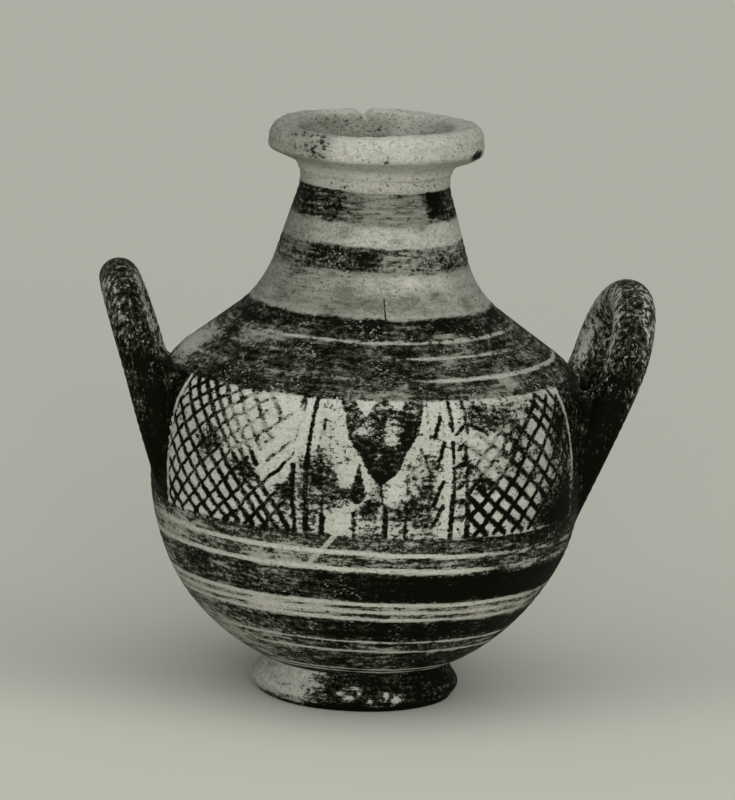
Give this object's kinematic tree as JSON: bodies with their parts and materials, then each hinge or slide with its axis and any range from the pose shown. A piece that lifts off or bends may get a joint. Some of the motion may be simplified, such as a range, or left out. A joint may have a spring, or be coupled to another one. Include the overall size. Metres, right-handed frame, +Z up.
{
  "type": "hydria jar",
  "caption": "Round-bellied ceramic water jar with a ring foot, sloping shoulder, tapering neck, rolled lip, upright loop handles on the belly and a pouring handle behind.",
  "frame": {"origin": "centre of the foot's resting ring, on the floor", "axes": "+Z up along the jar's axis, -Y towards the painted front, +X and -X through the lifting handles, +Y towards the pouring handle"},
  "size_m": [0.1934, 0.1508, 0.2],
  "materials": {
    "ceramic": "matt, painted in dark slip over pale slip",
    "bare_ceramic": "matt pale slip",
    "dark_ceramic": "matt dark slip"
  },
  "bodies": {
    "root": {"foot_ring": "ceramic", "lower_body": "ceramic", "shoulder": "ceramic", "neck": "ceramic", "mouth": "bare_ceramic", "left_handle": "dark_ceramic", "right_handle": "dark_ceramic", "back_handle": "dark_ceramic", "left_handle_front_luting": "dark_ceramic", "left_handle_rear_luting": "dark_ceramic", "right_handle_front_luting": "dark_ceramic", "right_handle_rear_luting": "dark_ceramic", "back_handle_top_luting": "dark_ceramic", "back_handle_bottom_luting": "dark_ceramic"}
  },
  "joints": []
}
